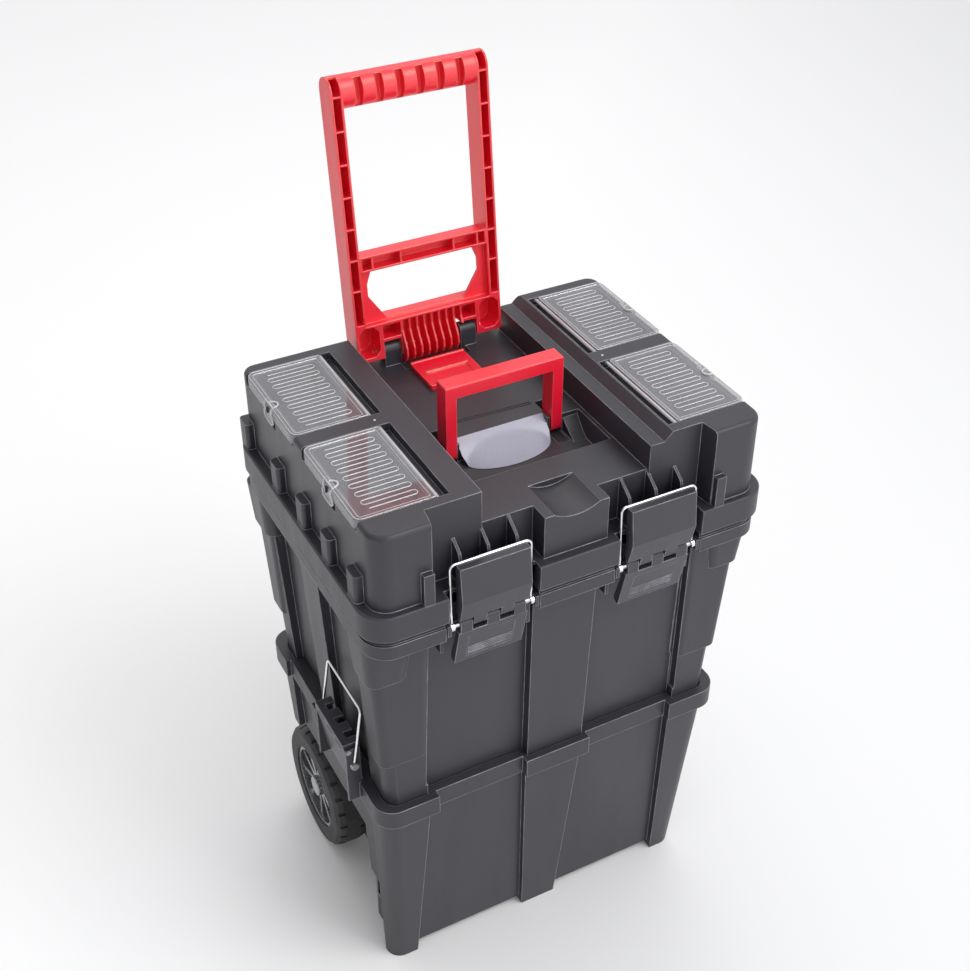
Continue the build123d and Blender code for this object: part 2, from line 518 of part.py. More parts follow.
def carry_handle():
    half, depth = CARRY_HALF_W, CARRY_DEPTH / 2
    y0, y1 = CARRY_AXIS_Y - depth, CARRY_AXIS_Y + depth
    body = block(-half, half, y0, y1, CARRY_AXIS_Z, CARRY_TOP)
    body = body + rod_x(-half, half, CARRY_AXIS_Y, CARRY_AXIS_Z, depth)
    inner = half - CARRY_LEG_W
    body = body - block(-inner, inner, y0 - 1, y1 + 1, CARRY_AXIS_Z - 20, CARRY_TOP - 13.5)
    top = [e for e in body.edges() if e.center().Z > CARRY_TOP - 0.1]
    body = fillet(top, 1.5)
    return body - rod_x(-80, 80, CARRY_AXIS_Y, CARRY_AXIS_Z, PIN_R + RUN)


def carry_handle_pins():
    pin = rod_x(44.5, 69.5, CARRY_AXIS_Y, CARRY_AXIS_Z, PIN_R)
    return Compound(children=[pin, mirrored(pin)])


# ---------------------------------------------------------------- latches, in their own frame
# X along the hinge pin, Y away from the wearer side towards the box, Z up, pin at the origin.
PLATE_TABS = ((-20.5, -7.5), (7.5, 20.5))
LEVER_TABS = ((-33.5, -21.5), (-6.5, 6.5), (21.5, 33.5))


def latch_plate():
    top = PLATE_TOP - LATCH_Z
    front = [(-8.1, top), (-12.2, 31), (-6.5, 8.5)]
    outer = profile_x(front + [(-3.5, 8.5), (0, 14), (0, top)], -PLATE_HALF_W, PLATE_HALF_W)
    inner = profile_x([(-5.1, top - 3), (-9.2, 31), (-3.0, 7), (5, 7), (5, top - 3)],
                      -PLATE_HALF_W + 2.5, PLATE_HALF_W - 2.5)
    plate = outer - inner
    for x0, x1 in PLATE_TABS:
        arm = [(-6.5, 8.5), (-9.0, 18), (-6, 18), (-3.4, 9), (3.0, 3.0), (0, -3.5), (-4.4, 0)]
        plate = plate + profile_x(arm, x0, x1) + rod_x(x0, x1, 0, 0, 4.6)
        plate = plate - rod_x(x0 - 1, x1 + 1, 0, 0, PIN_R + RUN)
    return plate


def latch_lever():
    """Grip lever; its lower edge lies nearer the box than the pin."""
    low, reach, cheek = LEVER_BOTTOM - LATCH_Z, 6.5, 7.0
    slope = (reach + 4.5) / (-8 - low)
    grip = [(-4.5, -8), (reach, low), (reach + 3, low), (reach + 2.6, low + 6), (-0.5, -14), (1.5, -8)]
    lever = profile_x(grip, -PLATE_HALF_W, PLATE_HALF_W)
    for x in (-PLATE_HALF_W, PLATE_HALF_W - 2.5):
        sides = [(-4.5, -8), (reach, low), (reach + cheek, low + 2), (reach + cheek, low + 8),
                 (3.5, -14), (3, -8)]
        lever = lever + profile_x(sides, x, x + 2.5)
    panel = profile_x([(-7, -16), (reach - 4, low + 5), (reach + 0.4 - 5 * slope, low + 5),
                       (reach + 0.4 - slope * (-16 - low), -16)], -24, 24)
    lever = lever - panel
    for i in range(4):
        z = low + 9 + 3.1 * i
        y = reach - slope * (z - low)
        lever = lever + block(-23, 23, y - 0.3, y + 2.4, z - 0.6, z + 0.6)
    for x0, x1 in LEVER_TABS:
        tab = profile_x([(-4.4, 0), (-4.5, -9), (3.2, -9), (4.4, 0)], x0, x1)
        lever = lever + tab + rod_x(x0, x1, 0, 0, 4.6)
        lever = lever - rod_x(x0 - 1, x1 + 1, 0, 0, PIN_R + RUN)
    return lever


def wire(points, bend):
    """Round wire along straight runs with bent corners."""
    path = FilletPolyline(*points, radius=bend)
    start = Plane(origin=points[0], z_dir=Vector(*points[1]) - Vector(*points[0]))
    return sweep(start * Circle(WIRE_R), path=path)


def latch_bail(height, lean):
    """Wire loop whose ends are rolled into eyes around the latch pin."""
    w = BAIL_HALF_W
    loop = wire([(-w, 0, 3.2), (-w, 0, height), (w, 0, height), (w, 0, 3.2)], 5.0)
    for x in (-w, w):
        loop = loop + rod_x(x - 1.7, x + 1.7, 0, 0, 4.6)
        loop = loop - rod_x(x - 3, x + 3, 0, 0, PIN_R + RUN)
    return Rot(-lean, 0, 0) * loop


def front_latch(shape, side):
    return Pos(side * LATCH_X, LATCH_Y, LATCH_Z) * shape


def side_latch(shape, side):
    turn = Rot(0, 0, -90) if side < 0 else Rot(0, 0, 90)
    return Pos(side * SIDE_LATCH_X, SIDE_LATCH_Y, SIDE_LATCH_Z) * turn * shape


def side_bail():
    bail = latch_bail(SIDE_BAIL_LENGTH, SIDE_BAIL_LEAN)
    return Pos(0, SIDE_LATCH_X - SIDE_BAIL_X, SIDE_BAIL_Z - SIDE_LATCH_Z) * bail


def side_lever():
    """Lever with a deep notched head around the pin and a grip plate hanging from its outer edge."""
    low, reach = -51.0, 3.4
    head = profile_x([(-5, 9), (13, 9), (13, -6.5), (-2.9, -6.5)], -PLATE_HALF_W, PLATE_HALF_W)
    head = head - profile_x([(-1.5, 6), (14, 6), (14, -8), (-0.2, -8)], -PLATE_HALF_W + 3, PLATE_HALF_W - 3)
    plate = profile_x([(-5, 9), (reach, low), (reach + 3, low), (-2, 9)], -PLATE_HALF_W, PLATE_HALF_W)
    lever = head + plate
    for x in (-PLATE_HALF_W, PLATE_HALF_W - 3):
        lever = lever + profile_x([(-2, -5), (reach + 1, low), (reach + 4.5, low + 2), (8, -6)], x, x + 3)
    for x in (-22.0, 0.0, 22.0):
        lever = lever - block(x - 4.5, x + 4.5, 3.0, 20, 3, 12)
    for x0, x1 in ((-30, -14), (-8, 8), (14, 30)):
        lever = lever + rod_x(x0, x1, 0, 0, 4.6) + profile_x([(-3, 7), (3, 7), (4.4, 1), (-4.2, 0)], x0, x1)
    return lever - rod_x(-60, 60, 0, 0, PIN_R + RUN)


def front_latch_pins():
    pins = [rod_x(s * LATCH_X - 47.2, s * LATCH_X + 47.2, LATCH_Y, LATCH_Z, PIN_R) for s in (-1, 1)]
    return Compound(children=pins)


def side_latch_pins():
    """Per side, one long pin for the lever and two headed studs for the bail's eyes."""
    pins = []
    for side in (-1, 1):
        low, high = SIDE_LATCH_Y - SIDE_PIN_HALF, SIDE_LATCH_Y + SIDE_PIN_HALF
        pins.append(rod_y(side * SIDE_LATCH_X, low, high, SIDE_LATCH_Z, PIN_R))
        x, z = side * SIDE_BAIL_X, SIDE_BAIL_Z
        for end in (-1, 1):
            y = [SIDE_LATCH_Y + end * d for d in (36.3, 43.2, 44.6)]
            pins.append(rod_y(x, *sorted(y[0:2]), z, PIN_R) + rod_y(x, *sorted(y[1:3]), z, 4.0))
    return Compound(children=pins)


def lid_hinge_pins():
    pins = [rod_x(x0, x1, LID_HINGE_Y, LID_HINGE_Z, HINGE_R) for x0, x1 in ((-150, -70), (70, 150))]
    return Compound(children=pins)


# ---------------------------------------------------------------- wheels
# Outer face at the origin, axle along +X.
def ring(r_out, r_in, x0, x1):
    return rod_x(x0, x1, 0, 0, r_out) - rod_x(x0 - 1, x1 + 1, 0, 0, r_in)


def tyre():
    half = [(0, 0, RIM_R), (0, 0, 69), (4, 0, 73.5), (10, 0, WHEEL_R)]
    other = [(TYRE_W - x, y, z) for x, y, z in reversed(half)]
    body = revolve(make_face(Polyline(*half, *other, close=True)), Axis.X)
    for i in range(TREAD_BLOCKS):
        a = 360 / TREAD_BLOCKS * i
        lug = block(-1, 12, -2.2, 2.2, WHEEL_R - 3, WHEEL_R + 2)
        body = body - Rot(a, 0, 0) * lug
        body = body - Rot(a + 7.5, 0, 0) * (Pos(TYRE_W - 11, 0, 0) * lug)
    return body


def wheel_rim():
    barrel = ring(RIM_R, RIM_R - 4, 2, TYRE_W - 2)
    hub = ring(15, AXLE_R + RUN, 7, TYRE_W - 4)
    dish = ring(48, 12, 14, 17)
    rim = barrel + hub + dish
    for i in range(SPOKES):
        spoke = block(7, 15, -2.6, 2.6, 13, 47.5)
        rim = rim + Rot(360 / SPOKES * i, 0, 0) * spoke
    return rim


def hub_cap():
    cap = rod_x(1.5, 6.6, 0, 0, 12.5) + ring(10.4, 8.4, 5, 6.9)
    return fillet(cap.edges().group_by(Axis.X)[0], 1.5)


def wheel_place(shape, side):
    placed = Pos(-WHEEL_FACE, WHEEL_Y, WHEEL_R) * shape
    return placed if side < 0 else mirrored(placed)


def axle():
    return rod_x(-WHEEL_FACE + 8, WHEEL_FACE - 8, WHEEL_Y, WHEEL_R, AXLE_R)


def axle_collars():
    """Snap rings on the axle, just inside the wheels."""
    rings = []
    for side in (-1, 1):
        x0, x1 = sorted((side * (WELL_HALF_W + 0.3), side * (WELL_HALF_W + 3.0)))
        rings.append(Pos(0, WHEEL_Y, WHEEL_R) * ring(10, AXLE_R, x0, x1))
    return Compound(children=rings)


# ---------------------------------------------------------------- everything
def pieces():
    front, rear = CELLS["front"], CELLS["rear"]
    nodes = {
        "lower_bin": lower_bin(),
        "axle": axle(),
        "axle_collars": axle_collars(),
        "side_latch_pins": side_latch_pins(),
        "upper_tub": upper_tub(),
        "front_latch_pins": front_latch_pins(),
        "lid_hinge_pins": lid_hinge_pins(),
        "lid_shell": lid_shell(),
        "pull_handle_pins": pull_handle_pins(),
        "carry_handle_pins": carry_handle_pins(),
        "clear_lid_right_front": clear_lid(*front),
        "clear_lid_right_rear": clear_lid(*rear),
        "clear_lid_left_front": mirrored(clear_lid(*front)),
        "clear_lid_left_rear": mirrored(clear_lid(*rear)),
        "pull_handle": pull_handle(),
        "handle_lock_slider": handle_lock_slider(),
        "carry_handle": carry_handle(),
    }
    for side, name in ((-1, "left"), (1, "right")):
        nodes["tyre_" + name] = wheel_place(tyre(), side)
        nodes["wheel_rim_" + name] = wheel_place(wheel_rim(), side)
        nodes["hub_cap_" + name] = wheel_place(hub_cap(), side)
        nodes["front_latch_plate_" + name] = front_latch(latch_plate(), side)
        nodes["front_latch_lever_" + name] = front_latch(latch_lever(), side)
        nodes["front_latch_bail_" + name] = front_latch(latch_bail(BAIL_LENGTH, BAIL_LEAN), side)
        nodes["side_latch_lever_" + name] = side_latch(side_lever(), side)
        nodes["side_latch_bail_" + name] = side_latch(side_bail(), side)
    return nodes


def main():
    os.makedirs("parts", exist_ok=True)
    for name, shape in pieces().items():
        export_step(Pos(0, -DEPTH_CENTRE, 0) * shape, "parts/" + name + ".step")


if __name__ == "__main__":
    main()
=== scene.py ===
"""Looks of the rolling tool box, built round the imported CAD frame. Metres, +Z up, +Y to the back."""
import bpy
import bmesh
import json
import math
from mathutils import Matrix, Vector


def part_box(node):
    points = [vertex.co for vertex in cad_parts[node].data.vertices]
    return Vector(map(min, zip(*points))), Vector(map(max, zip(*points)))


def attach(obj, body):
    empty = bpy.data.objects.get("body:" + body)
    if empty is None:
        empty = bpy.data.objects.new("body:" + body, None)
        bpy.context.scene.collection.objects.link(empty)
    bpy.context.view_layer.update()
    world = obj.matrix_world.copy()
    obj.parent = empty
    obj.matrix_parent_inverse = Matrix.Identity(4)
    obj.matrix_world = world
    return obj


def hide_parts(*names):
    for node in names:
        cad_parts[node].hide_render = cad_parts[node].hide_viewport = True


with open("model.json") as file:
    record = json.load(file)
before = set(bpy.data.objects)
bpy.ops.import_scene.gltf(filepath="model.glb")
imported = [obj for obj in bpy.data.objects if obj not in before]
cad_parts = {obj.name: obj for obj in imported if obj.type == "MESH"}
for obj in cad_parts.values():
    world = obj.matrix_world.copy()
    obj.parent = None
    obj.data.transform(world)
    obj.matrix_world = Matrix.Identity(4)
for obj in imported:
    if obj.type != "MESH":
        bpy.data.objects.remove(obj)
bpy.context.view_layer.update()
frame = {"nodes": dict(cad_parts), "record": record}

MM = 0.001
OUTWARD = {"left": -1, "right": 1}

# ---------------------------------------------------------------- camera
AIM = Vector((0.0, 0.0079, 0.5115))
CAMERA_DISTANCE = 1.4953
CAMERA_AZIMUTH = math.radians(27.86)
CAMERA_ELEVATION = math.radians(36.37)
CAMERA_LENS = 54.01
SENSOR_WIDTH = 36.0
CLIP_END = 60.0


def add_camera():
    data = bpy.data.cameras.new("camera")
    data.lens = CAMERA_LENS
    data.sensor_width = SENSOR_WIDTH
    data.clip_end = CLIP_END
    camera = bpy.data.objects.new("camera", data)
    level = math.cos(CAMERA_ELEVATION)
    ahead = Vector((math.sin(CAMERA_AZIMUTH) * level, math.cos(CAMERA_AZIMUTH) * level,
                    -math.sin(CAMERA_ELEVATION)))
    camera.location = AIM - ahead * CAMERA_DISTANCE
    camera.rotation_euler = ahead.to_track_quat("-Z", "Y").to_euler()
    bpy.context.scene.collection.objects.link(camera)
    bpy.context.scene.camera = camera


# ---------------------------------------------------------------- studio
# Soft boxes: name, place, what it points at, (width, height), watts.
LAMPS = (
    ("key", (1.3, -1.9, 3.2), (0, 0, 0.4), (1.8, 1.8), 46),
    ("top_back", (0.6, 1.8, 3.6), (0, 0, 0.6), (2.4, 1.6), 18),
    ("front_fill", (0.6, -3.4, 1.3), (0, 0, 0.4), (2.4, 1.8), 20),
)
WORLD_COLOUR = (0.985, 0.985, 1.0, 1)
WORLD_DIM, WORLD_BRIGHT = 0.34, 0.92
# The world's strength rises between these two values of its direction along X.
WORLD_DIM_X, WORLD_BRIGHT_X = -1.0, -0.1


def fill(node, values):
    """Sets a node's inputs by their names."""
    for key, value in values.items():
        node.inputs[key].default_value = value


def add_lamp(name, place, target, size, power):
    data = bpy.data.lights.new(name, "AREA")
    data.shape = "RECTANGLE"
    data.size, data.size_y = size
    data.energy = power
    lamp = bpy.data.objects.new(name, data)
    lamp.location = place
    lamp.rotation_euler = (Vector(target) - Vector(place)).to_track_quat("-Z", "Y").to_euler()
    bpy.context.scene.collection.objects.link(lamp)


def add_studio():
    """A white surround, darker on the left, and the soft boxes."""
    world = bpy.data.worlds.new("studio")
    world.use_nodes = True
    tree = world.node_tree
    around = tree.nodes.new("ShaderNodeTexCoord")
    split = tree.nodes.new("ShaderNodeSeparateXYZ")
    ramp = tree.nodes.new("ShaderNodeMapRange")
    fill(ramp, {"From Min": WORLD_DIM_X, "From Max": WORLD_BRIGHT_X,
                "To Min": WORLD_DIM, "To Max": WORLD_BRIGHT})
    tree.links.new(around.outputs["Generated"], split.inputs[0])
    tree.links.new(split.outputs["X"], ramp.inputs["Value"])
    tree.links.new(ramp.outputs["Result"], tree.nodes["Background"].inputs["Strength"])
    tree.nodes["Background"].inputs["Color"].default_value = WORLD_COLOUR
    bpy.context.scene.world = world
    for lamp in LAMPS:
        add_lamp(*lamp)
    bpy.context.scene.view_settings.view_transform = "Standard"


# ---------------------------------------------------------------- shader helpers
BEVEL_SAMPLES = 6
# Cosine between a face and its rounded normal: on an edge, and where the face counts as flat.
EDGE_COSINE, FLAT_COSINE = 0.80, 0.995


class Shader:
    """A node material being put together."""

    def __init__(self, name):
        self.material = bpy.data.materials.new(name)
        self.material.use_nodes = True
        self.tree = self.material.node_tree
        self.surface = self.tree.nodes["Principled BSDF"]
        self.place = self.node("ShaderNodeTexCoord").outputs["Object"]

    def node(self, kind, **settings):
        made = self.tree.nodes.new(kind)
        for key, value in settings.items():
            setattr(made, key, value)
        return made

    def link(self, source, target):
        self.tree.links.new(source, target)

    def feed(self, **sources):
        """Links outputs to the surface's inputs, with _ for a space in their names."""
        for key, source in sources.items():
            self.link(source, self.surface.inputs[key.replace("_", " ")])

    def set(self, **values):
        """Sets the surface's inputs, with _ for a space in their names."""
        fill(self.surface, {key.replace("_", " "): value for key, value in values.items()})

    def noise(self, scale, detail=3.0, rough=0.55, stretch=None):
        """Noise over the object's own coordinates, which stretch scales first."""
        source = self.place
        if stretch:
            mapping = self.node("ShaderNodeMapping")
            fill(mapping, {"Scale": stretch})
            self.link(self.place, mapping.inputs["Vector"])
            source = mapping.outputs["Vector"]
        made = self.node("ShaderNodeTexNoise")
        fill(made, {"Scale": scale, "Detail": detail, "Roughness": rough})
        self.link(source, made.inputs["Vector"])
        return made.outputs["Fac"]

    def cells(self, scale):
        made = self.node("ShaderNodeTexVoronoi")
        fill(made, {"Scale": scale})
        self.link(self.place, made.inputs["Vector"])
        return made.outputs["Distance"]

    def spread(self, source, low, high, start=0.0, end=1.0):
        """Maps source from start..end to low..high."""
        made = self.node("ShaderNodeMapRange")
        fill(made, {"From Min": start, "From Max": end, "To Min": low, "To Max": high})
        self.link(source, made.inputs["Value"])
        return made.outputs["Result"]

    def maths(self, operation, a, b):
        made = self.node("ShaderNodeMath", operation=operation)
        for i, value in enumerate((a, b)):
            if isinstance(value, (int, float)):
                made.inputs[i].default_value = value
            else:
                self.link(value, made.inputs[i])
        return made.outputs["Value"]

    def blend(self, amount, a, b):
        """Mixes colours a and b by amount."""
        made = self.node("ShaderNodeMix", data_type="RGBA")
        # Inputs 0, 6 and 7 are the factor and the two colours; output 2 is the mixed colour.
        for key, value in ((0, amount), (6, a), (7, b)):
            if isinstance(value, tuple):
                made.inputs[key].default_value = (*value[:3], 1.0)
            else:
                self.link(value, made.inputs[key])
        return made.outputs[2]

    def edges(self, radius):
        """A rounded normal for crisp moulded edges, and a mask that is 1 along them."""
        bevel = self.node("ShaderNodeBevel", samples=BEVEL_SAMPLES)
        fill(bevel, {"Radius": radius})
        shape = self.node("ShaderNodeNewGeometry")
        dot = self.node("ShaderNodeVectorMath", operation="DOT_PRODUCT")
        self.link(bevel.outputs["Normal"], dot.inputs[0])
        self.link(shape.outputs["Normal"], dot.inputs[1])
        mask = self.spread(dot.outputs["Value"], 1.0, 0.0, start=EDGE_COSINE, end=FLAT_COSINE)
        return bevel.outputs["Normal"], mask

    def bump(self, height, strength, distance, normal=None):
        made = self.node("ShaderNodeBump")
        fill(made, {"Strength": strength, "Distance": distance})
        self.link(height, made.inputs["Height"])
        if normal is not None:
            self.link(normal, made.inputs["Normal"])
        return made.outputs["Normal"]


def scaled(colour, factor):
    return tuple(min(1.0, c * factor) for c in colour[:3])


def moulded_plastic(name, colour, highlight_colour, rough=0.42, grain=0.12, highlight_strength=0.95, specular=0.5,
                    tint=(1.0, 1.0, 1.0), index=1.5):
    """Satin injection-moulded plastic: fine spark-eroded grain, faint flow marks, and edges made paler by
    a painted highlight.
    """
    s = Shader(name)
    normal, mask = s.edges(radius=1.5 * MM)
    clouds = s.noise(scale=7.0, detail=4.0)
    speckle = s.noise(scale=900.0, detail=2.0)
    base = s.blend(clouds, scaled(colour, 0.88), scaled(colour, 1.12))
    base = s.blend(s.spread(speckle, 0.0, 0.30, start=0.45, end=0.75), base, scaled(colour, 1.35))
    # Painted highlight: the edges are mixed towards a pale highlight colour, stronger in some patches than
    # in others.
    highlight_patches = s.spread(s.noise(scale=60.0), highlight_strength * 0.4, highlight_strength, start=0.35, end=0.65)
    base = s.blend(s.maths("MULTIPLY", mask, highlight_patches), base, highlight_colour)
    streaks = s.noise(scale=22.0, detail=5.0, rough=0.6, stretch=(1.0, 1.0, 0.12))
    gloss = s.maths("ADD", s.spread(streaks, rough - 0.05, rough + 0.06, start=0.3, end=0.7),
                    s.spread(speckle, -0.03, 0.03))
    gloss = s.maths("SUBTRACT", gloss, s.maths("MULTIPLY", mask, 0.10))
    wavy = s.bump(s.noise(scale=9.0, detail=2.0), strength=0.10, distance=0.6 * MM, normal=normal)
    grainy = s.maths("ADD", s.noise(scale=1500.0, detail=2.0), s.maths("MULTIPLY", s.cells(700.0), 0.6))
    s.feed(Base_Color=base, Roughness=gloss,
           Normal=s.bump(grainy, strength=grain, distance=0.08 * MM, normal=wavy))
    s.set(Specular_IOR_Level=specular, Specular_Tint=(*tint, 1.0), IOR=index)
    return s.material


def clear_plastic(name, alpha, highlight_alpha, reflection_tone):
    """Clear moulding: very glossy, with soft smears left by fingers; its grey colour is painted reflection
    of the bright surround, and it is more opaque along edges as painted highlight.
    """
    s = Shader(name)
    normal, mask = s.edges(radius=0.6 * MM)
    smears = s.noise(scale=24.0, detail=4.0, rough=0.6, stretch=(1.0, 0.4, 1.0))
    # Painted reflection: a grey colour stands in for the bright surround mirrored in the clear plastic.
    base = s.blend(s.spread(smears, 0.0, 1.0, start=0.35, end=0.7), scaled(reflection_tone, 0.9), reflection_tone)
    # Painted highlight: the edges are more opaque.
    opaque = s.maths("ADD", s.spread(smears, alpha - 0.03, alpha + 0.03, start=0.3, end=0.7),
                     s.maths("MULTIPLY", mask, highlight_alpha))
    wavy = s.bump(s.noise(scale=18.0, detail=2.0), strength=0.05, distance=0.5 * MM, normal=normal)
    s.feed(Base_Color=base, Roughness=s.spread(smears, 0.03, 0.11, start=0.3, end=0.7), Alpha=opaque,
           Normal=wavy)
    s.set(IOR=2.3, Coat_Weight=1.0, Coat_IOR=1.9, Coat_Roughness=0.04)
    return s.material


def drawn_wire(name, colour, rough):
    """Bright steel: fine lines along the wire and slight tarnish."""
    s = Shader(name)
    tarnish = s.noise(scale=90.0, detail=4.0)
    lines = s.noise(scale=1200.0, stretch=(1.0, 1.0, 0.05))
    scratches = s.noise(scale=2500.0, detail=2.0, stretch=(1.0, 1.0, 0.08))
    s.feed(Base_Color=s.blend(tarnish, scaled(colour, 0.86), scaled(colour, 1.08)),
           Roughness=s.spread(lines, rough - 0.05, rough + 0.10),
           Normal=s.bump(scratches, strength=0.08, distance=0.05 * MM))
    s.set(Metallic=1.0)
    return s.material


def tyre_rubber():
    """Matte tyre with dust in the tread."""
    rubber, dusty, paler_edge = (0.040, 0.040, 0.043), (0.115, 0.112, 0.108), (0.16, 0.16, 0.16)
    s = Shader("tyre_rubber")
    normal, mask = s.edges(radius=0.8 * MM)
    dust = s.noise(scale=35.0, detail=6.0, rough=0.7)
    base = s.blend(s.spread(dust, 0.0, 0.6, start=0.45, end=0.75), rubber, dusty)
    # The edges are mixed towards a paler grey.
    s.feed(Base_Color=s.blend(s.maths("MULTIPLY", mask, 0.4), base, paler_edge),
           Roughness=s.spread(dust, 0.55, 0.78),
           Normal=s.bump(s.noise(scale=700.0), strength=0.18, distance=0.15 * MM, normal=normal))
    return s.material


def metallic_rim():
    """Silver lacquered wheel rim, with a near-white painted highlight along its edges."""
    dark_flake, bright_flake, rim_highlight = (0.26, 0.265, 0.28), (0.42, 0.425, 0.44), (0.85, 0.85, 0.86)
    s = Shader("silver_lacquer")
    normal, mask = s.edges(radius=0.9 * MM)
    flakes = s.noise(scale=1800.0, detail=2.0)
    base = s.blend(flakes, dark_flake, bright_flake)
    # Painted highlight: the edges are mixed towards near white.
    s.feed(Base_Color=s.blend(s.maths("MULTIPLY", mask, 0.5), base, rim_highlight),
           Roughness=s.spread(s.noise(scale=60.0, detail=4.0), 0.20, 0.34),
           Normal=s.bump(flakes, strength=0.05, distance=0.05 * MM, normal=normal))
    s.set(Metallic=0.85, Coat_Weight=0.4)
    return s.material


def floor_paint():
    """White paper with faint clouds, painted darker to the front and the right as shade."""
    paper_in_painted_shade, paper_in_painted_light, cloud = (0.80, 0.803, 0.805), (0.965, 0.965, 0.965), (1.0, 1.0, 1.0)
    s = Shader("studio_floor")
    clouds = s.noise(scale=1.2)
    split = s.node("ShaderNodeSeparateXYZ")
    s.link(s.place, split.inputs[0])
    behind = s.maths("SUBTRACT", split.outputs["Y"], split.outputs["X"])
    # Painted shade: the paper is blended darker towards the front and the right, where the light falls
    # off.
    paper = s.blend(s.spread(behind, 0.0, 1.0, start=-1.0, end=0.7), paper_in_painted_shade, paper_in_painted_light)
    s.feed(Base_Color=s.blend(s.spread(clouds, 0.0, 0.06), paper, cloud),
           Roughness=s.spread(clouds, 0.45, 0.6))
    s.set(Specular_IOR_Level=0.2)
    return s.material


# ---------------------------------------------------------------- materials
# Base colours, each with the pale colour that is painted along its edges as highlight.
CHARCOAL = (0.033, 0.032, 0.040)
CHARCOAL_HIGHLIGHT = (0.52, 0.52, 0.57)
RED = (0.86, 0.004, 0.032)
RED_HIGHLIGHT = (0.98, 0.40, 0.32)

# Looks of the record's material slots.
materials = {
    "charcoal_body": moulded_plastic("charcoal_moulding", CHARCOAL, CHARCOAL_HIGHLIGHT),
    "charcoal_latch": moulded_plastic("charcoal_latch", scaled(CHARCOAL, 1.15), CHARCOAL_HIGHLIGHT, rough=0.36),
    "red_plastic": moulded_plastic("red_moulding", RED, RED_HIGHLIGHT, rough=0.34, grain=0.08, highlight_strength=0.6,
                                   specular=0.8, tint=(1.0, 0.84, 0.70), index=1.62),
    "clear_lid": clear_plastic("clear_lid", alpha=0.47, highlight_alpha=0.40, reflection_tone=(0.34, 0.34, 0.37)),
    "bright_wire": drawn_wire("bright_wire", (0.86, 0.86, 0.87), rough=0.18),
    "tyre": tyre_rubber(),
    "silver_rim": metallic_rim(),
    "steel_pin": drawn_wire("steel_pin", (0.55, 0.55, 0.56), rough=0.32),
}
slot_of = {entry["node"]: entry["material_slot"] for entry in frame["record"]["subparts"]}

# Looks of single pieces, finer than their slot's.
# Painted highlight: clear ribs, hooks, rim lines and rods are paler and more opaque than the lid, for the
# light on their rounded shapes.
rib_highlight_look = clear_plastic("clear_rib_painted_highlight", alpha=0.62, highlight_alpha=0.25, reflection_tone=(0.75, 0.75, 0.78))
# Painted shade: near-black beads laid where the shade of a slot falls.
slot_shade_look = moulded_plastic("catch_shadow", (0.012, 0.012, 0.014), (0.05, 0.05, 0.06), rough=0.5)
# Painted light: the finger scoop is charcoal moulding, painted pale lavender grey where it faces the
# light.
lit_scoop_look = moulded_plastic("scoop_painted_light", (0.37, 0.37, 0.45), (0.65, 0.65, 0.72), rough=0.22,
                              grain=0.03)


def dress_nodes():
    """Gives every CAD node its slot's look."""
    for name, node in frame["nodes"].items():
        node.data.materials.clear()
        node.data.materials.append(materials[slot_of[name]])


# ---------------------------------------------------------------- new pieces
MERGE_DISTANCE = 0.01 * MM
BEAD_BEVEL_STEPS = 3


def mesh_piece(name, body, slot, make, smooth=True):
    """Makes a piece from a bmesh filled by `make`, and fastens it to its body."""
    bm = bmesh.new()
    make(bm)
    bmesh.ops.remove_doubles(bm, verts=bm.verts, dist=MERGE_DISTANCE)
    bmesh.ops.recalc_face_normals(bm, faces=bm.faces)
    mesh = bpy.data.meshes.new(name)
    bm.to_mesh(mesh)
    bm.free()
    for face in mesh.polygons:
        face.use_smooth = smooth
    piece = bpy.data.objects.new(name, mesh)
    bpy.context.scene.collection.objects.link(piece)
    mesh.materials.append(materials[slot])
    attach(piece, body)
    return piece


def bead(name, body, look, points, radius, closed=False):
    """A round bead along a path of points."""
    curve = bpy.data.curves.new(name, "CURVE")
    curve.dimensions = "3D"
    curve.bevel_depth = radius
    curve.bevel_resolution = BEAD_BEVEL_STEPS
    curve.use_fill_caps = True
    spline = curve.splines.new("POLY")
    spline.points.add(len(points) - 1)
    for point, place in zip(spline.points, points):
        point.co = (*place, 1.0)
    spline.use_cyclic_u = closed
    piece = bpy.data.objects.new(name, curve)
    bpy.context.scene.collection.objects.link(piece)
    curve.materials.append(look)
    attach(piece, body)


def arc(centre, radius, start, end, steps=8):
    """Points of a level arc, angles in degrees."""
    x, y, z = centre
    places = []
    for i in range(steps + 1):
        a = math.radians(start + (end - start) * i / steps)
        places.append((x + radius * math.cos(a), y + radius * math.sin(a), z))
    return places


def meander(x0, x1, y0, y1, z, runs):
    """A level zigzag of parallel runs along X joined by half circles."""
    pitch = (y1 - y0) / (runs - 1)
    turn = pitch / 2
    low, high = min(x0, x1) + turn, max(x0, x1) - turn
    path = []
    for i in range(runs):
        y = y0 + pitch * i
        here, there = (low, high) if i % 2 == 0 else (high, low)
        path.append((here, y, z))
        if i < runs - 1:
            centre = (there, y + turn, z)
            path += arc(centre, turn, -90, 90) if i % 2 == 0 else arc(centre, turn, 270, 90)
        else:
            path.append((there, y, z))
    return path


